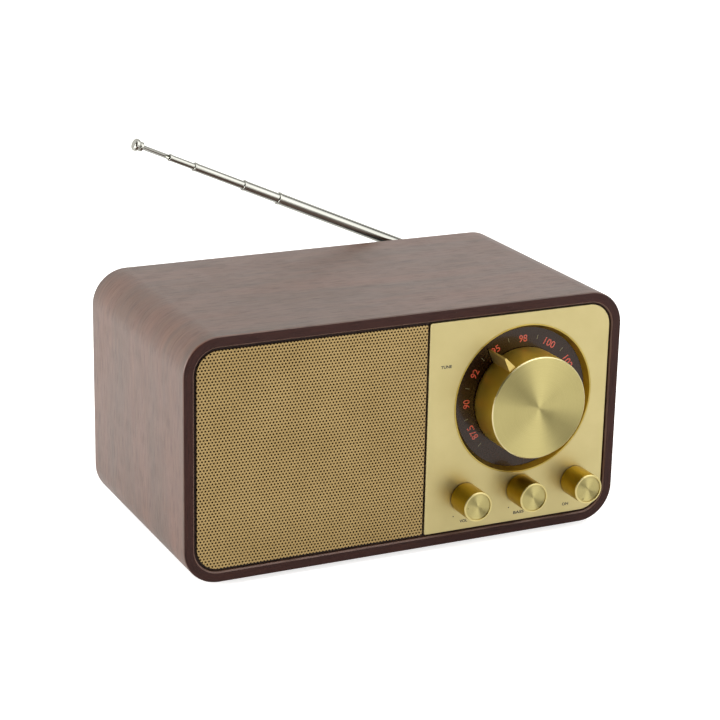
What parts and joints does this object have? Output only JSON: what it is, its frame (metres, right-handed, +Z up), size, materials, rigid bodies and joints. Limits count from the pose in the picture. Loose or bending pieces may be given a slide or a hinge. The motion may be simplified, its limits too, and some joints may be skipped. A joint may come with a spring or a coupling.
{
  "type": "tabletop radio",
  "caption": "Tabletop radio: wooden sleeve with perforated gold grille, gold panel with round tuning dial and small knobs, and a telescopic aerial behind.",
  "frame": {"origin": "on the surface that the feet stand on, under the middle of the cabinet", "axes": "+X to the right seen from the front, +Y towards the back, +Z up; the controls face -Y"},
  "size_m": [0.24, 0.1614, 0.193],
  "materials": {
    "walnut_veneer": "satin lacquered reddish walnut veneer, fine grain",
    "black_board": "matt black painted board",
    "pine": "bare sawn softwood",
    "gilt_panel": "fine bead-blasted pale gold anodised sheet",
    "gilt_turned": "turned gold anodised ring",
    "spun_gilt": "radially spun pale gold anodised face",
    "knob_gilt": "satin dark gold anodised side",
    "grille_gilt": "satin gold lacquered perforated sheet",
    "grille_cloth": "black acoustic cloth",
    "dial_acrylic": "back-printed dark brown acrylic",
    "chrome": "polished chrome plate",
    "steel": "zinc plated",
    "shaft_steel": "turned steel",
    "brass": "turned brass",
    "black_plastic": "fine textured black moulding",
    "socket_plastic": "smooth black moulding",
    "rubber": "matt black rubber",
    "cone_paper": "felted black paper",
    "spider_cloth": "resin-stiffened cotton",
    "ferrite": "ground ferrite",
    "coil_wire": "enamelled copper winding",
    "circuit_board": "green solder mask",
    "tinplate": "tinned steel",
    "heatsink_black": "black anodised",
    "capacitor_sleeve": "dark blue shrink sleeve",
    "control_case": "pressed nickel plated case"
  },
  "bodies": {
    "radio_case": {"cabinet": "walnut_veneer", "front_baffle": "black_board", "control_panel": "gilt_panel", "dial_bezel": "gilt_turned", "dial_plate": "dial_acrylic", "speaker_grille": "grille_gilt", "grille_cloth": "grille_cloth", "tuning_pot": "control_case", "volume_pot": "control_case", "bass_pot": "control_case", "power_switch": "control_case", "control_bracket": "steel", "bracket_screws": "steel", "control_nuts": "steel", "speaker_gasket": "rubber", "speaker_basket": "steel", "speaker_screws": "steel", "speaker_top_plate": "steel", "speaker_magnet": "ferrite", "speaker_yoke": "steel", "main_board": "circuit_board", "board_standoffs": "brass", "board_screws": "steel", "tuner_can": "tinplate", "heatsink": "heatsink_black", "filter_capacitors": "capacitor_sleeve", "rear_panel": "black_plastic", "rear_blocks": "pine", "rear_screws": "steel", "aux_jack": "chrome", "dc_socket": "socket_plastic", "aerial_base": "black_plastic", "feet": "rubber", "foot_screws": "steel"},
    "tuning_control": {"tuning_knob": "spun_gilt", "tuning_knob_hub": "black_plastic", "tuning_pointer": "spun_gilt", "tuning_shaft": "shaft_steel"},
    "volume_control": {"volume_knob": "knob_gilt", "volume_knob_cap": "spun_gilt", "volume_shaft": "shaft_steel"},
    "bass_control": {"bass_knob": "knob_gilt", "bass_knob_cap": "spun_gilt", "bass_shaft": "shaft_steel"},
    "power_control": {"power_knob": "knob_gilt", "power_knob_cap": "spun_gilt", "power_shaft": "shaft_steel"},
    "speaker_diaphragm": {"speaker_cone": "cone_paper", "speaker_surround": "rubber", "speaker_spider": "spider_cloth", "voice_coil": "coil_wire", "dust_cap": "cone_paper"},
    "aerial_mount": {"aerial_swivel": "chrome", "aerial_pin": "steel"},
    "aerial_lower": {"aerial_knuckle": "chrome", "aerial_section_1": "chrome"},
    "aerial_second": {"aerial_section_2": "chrome"},
    "aerial_third": {"aerial_section_3": "chrome"},
    "aerial_fourth": {"aerial_section_4": "chrome"},
    "aerial_fifth": {"aerial_section_5": "chrome"}
  },
  "joints": [
    {"name": "tuning_turn", "type": "hinge", "parent": "radio_case", "child": "tuning_control", "pos_m": [0.0647, -0.0655, 0.0751], "axis": [0, 1, 0], "range_deg": [-84.5, 155.5]},
    {"name": "volume_turn", "type": "hinge", "parent": "radio_case", "child": "volume_control", "pos_m": [0.0325, -0.0655, 0.0264], "axis": [0, 1, 0], "range_deg": [-60, 240]},
    {"name": "bass_turn", "type": "hinge", "parent": "radio_case", "child": "bass_control", "pos_m": [0.0647, -0.0655, 0.0264], "axis": [0, 1, 0], "range_deg": [-300, 0]},
    {"name": "power_turn", "type": "hinge", "parent": "radio_case", "child": "power_control", "pos_m": [0.0969, -0.0655, 0.0264], "axis": [0, 1, 0], "range_deg": [0, 90]},
    {"name": "diaphragm_travel", "type": "slide", "parent": "radio_case", "child": "speaker_diaphragm", "axis": [0, 1, 0], "range_m": [-0.0015, 0.0015], "stiffness_N_per_m": 900},
    {"name": "aerial_swing", "type": "hinge", "parent": "radio_case", "child": "aerial_mount", "pos_m": [0.098, 0.0742, 0.1064], "axis": [0, 1, 0], "range_deg": [-23.7, 156.3]},
    {"name": "aerial_tilt", "type": "hinge", "parent": "aerial_mount", "child": "aerial_lower", "pos_m": [0.098, 0.0742, 0.1064], "axis": [-0.4019, 0, -0.9157], "range_deg": [0, 90]},
    {"name": "aerial_draw_2", "type": "slide", "parent": "aerial_lower", "child": "aerial_second", "axis": [-0.9157, 0, 0.4019], "range_m": [-0.019, 0.068]},
    {"name": "aerial_draw_3", "type": "slide", "parent": "aerial_second", "child": "aerial_third", "axis": [-0.9157, 0, 0.4019], "range_m": [-0.0275, 0.0595]},
    {"name": "aerial_draw_4", "type": "slide", "parent": "aerial_third", "child": "aerial_fourth", "axis": [-0.9157, 0, 0.4019], "range_m": [-0.012, 0.075]},
    {"name": "aerial_draw_5", "type": "slide", "parent": "aerial_fourth", "child": "aerial_fifth", "axis": [-0.9157, 0, 0.4019], "range_m": [-0.0127, 0.0743]}
  ]
}
